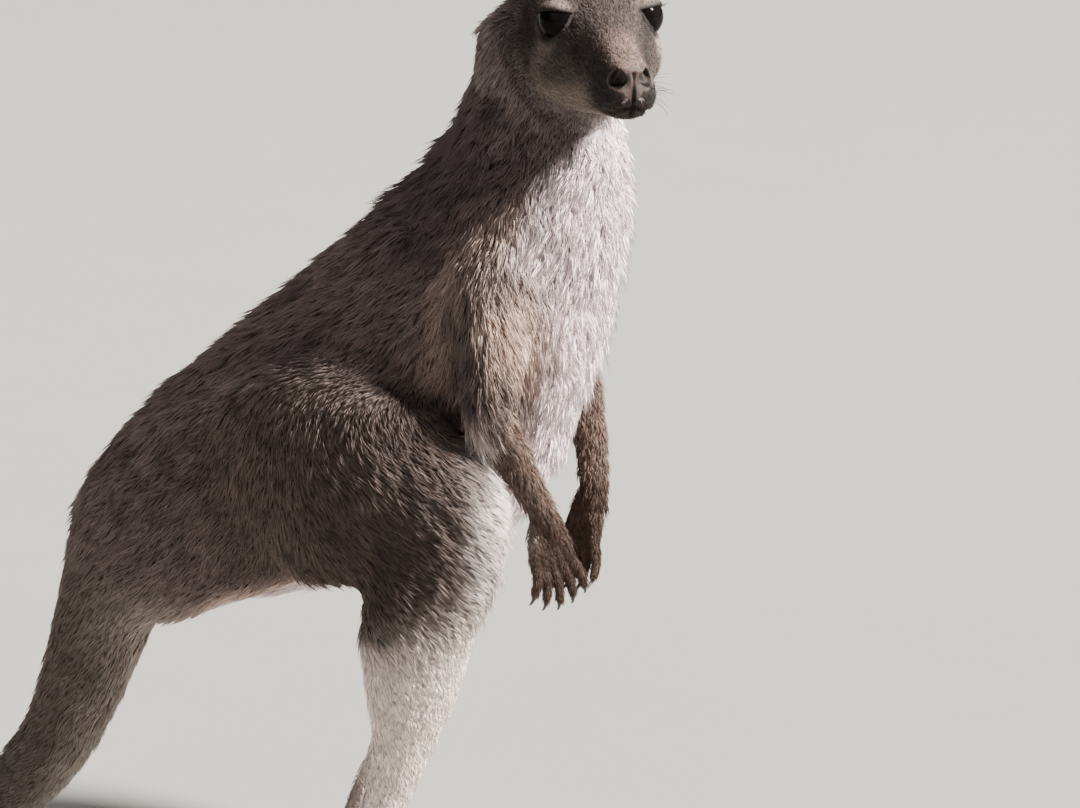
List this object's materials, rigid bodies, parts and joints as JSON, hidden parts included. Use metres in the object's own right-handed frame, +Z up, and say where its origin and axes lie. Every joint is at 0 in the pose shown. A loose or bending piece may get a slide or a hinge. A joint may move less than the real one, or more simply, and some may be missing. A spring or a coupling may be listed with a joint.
{
  "type": "red kangaroo",
  "caption": "Life-size still model of a red kangaroo standing alert on flat hind feet with its tail laid behind, arms hanging and head turned to its right.",
  "frame": {"origin": "on the floor, under the middle of the animal's box", "axes": "+X the way the feet point, +Y the animal's left, +Z up; the soles and the underside of the tail rest at Z 0"},
  "size_m": [0.8512, 0.2778, 0.7992],
  "materials": {
    "grey_coat": "grey-brown fur, long and shaggy on the back",
    "tan_coat": "short tan-brown fur of the arms",
    "white_coat": "cream-white fur of the throat and chest",
    "dark_coat": "short dark brown fur of the hands and feet",
    "face_coat": "short grey-brown and pale fur of the head and ears",
    "buff_coat": "short buff fur of the shanks",
    "claw_horn": "dark polished horn",
    "eye_gloss": "dark wet-looking eye"
  },
  "bodies": {
    "root": {"belly": "grey_coat", "chest": "white_coat", "claw_finger_1_l": "claw_horn", "claw_finger_1_r": "claw_horn", "claw_finger_2_l": "claw_horn", "claw_finger_2_r": "claw_horn", "claw_finger_3_l": "claw_horn", "claw_finger_3_r": "claw_horn", "claw_finger_4_l": "claw_horn", "claw_finger_4_r": "claw_horn", "claw_finger_5_l": "claw_horn", "claw_finger_5_r": "claw_horn", "claw_toe_2_l": "claw_horn", "claw_toe_2_r": "claw_horn", "claw_toe_3_l": "claw_horn", "claw_toe_3_r": "claw_horn", "claw_toe_4_l": "claw_horn", "claw_toe_4_r": "claw_horn", "claw_toe_5_l": "claw_horn", "claw_toe_5_r": "claw_horn", "ear_l": "face_coat", "ear_r": "face_coat", "eye_l": "eye_gloss", "eye_r": "eye_gloss", "foot_l": "dark_coat", "foot_r": "dark_coat", "forearm_l": "tan_coat", "forearm_r": "tan_coat", "hand_l": "dark_coat", "hand_r": "dark_coat", "head": "face_coat", "neck": "grey_coat", "rump": "grey_coat", "shank_l": "buff_coat", "shank_r": "buff_coat", "tail_1": "grey_coat", "tail_2": "grey_coat", "tail_3": "grey_coat", "tail_4": "grey_coat", "thigh_l": "grey_coat", "thigh_r": "grey_coat", "upper_arm_l": "tan_coat", "upper_arm_r": "tan_coat"}
  },
  "joints": []
}
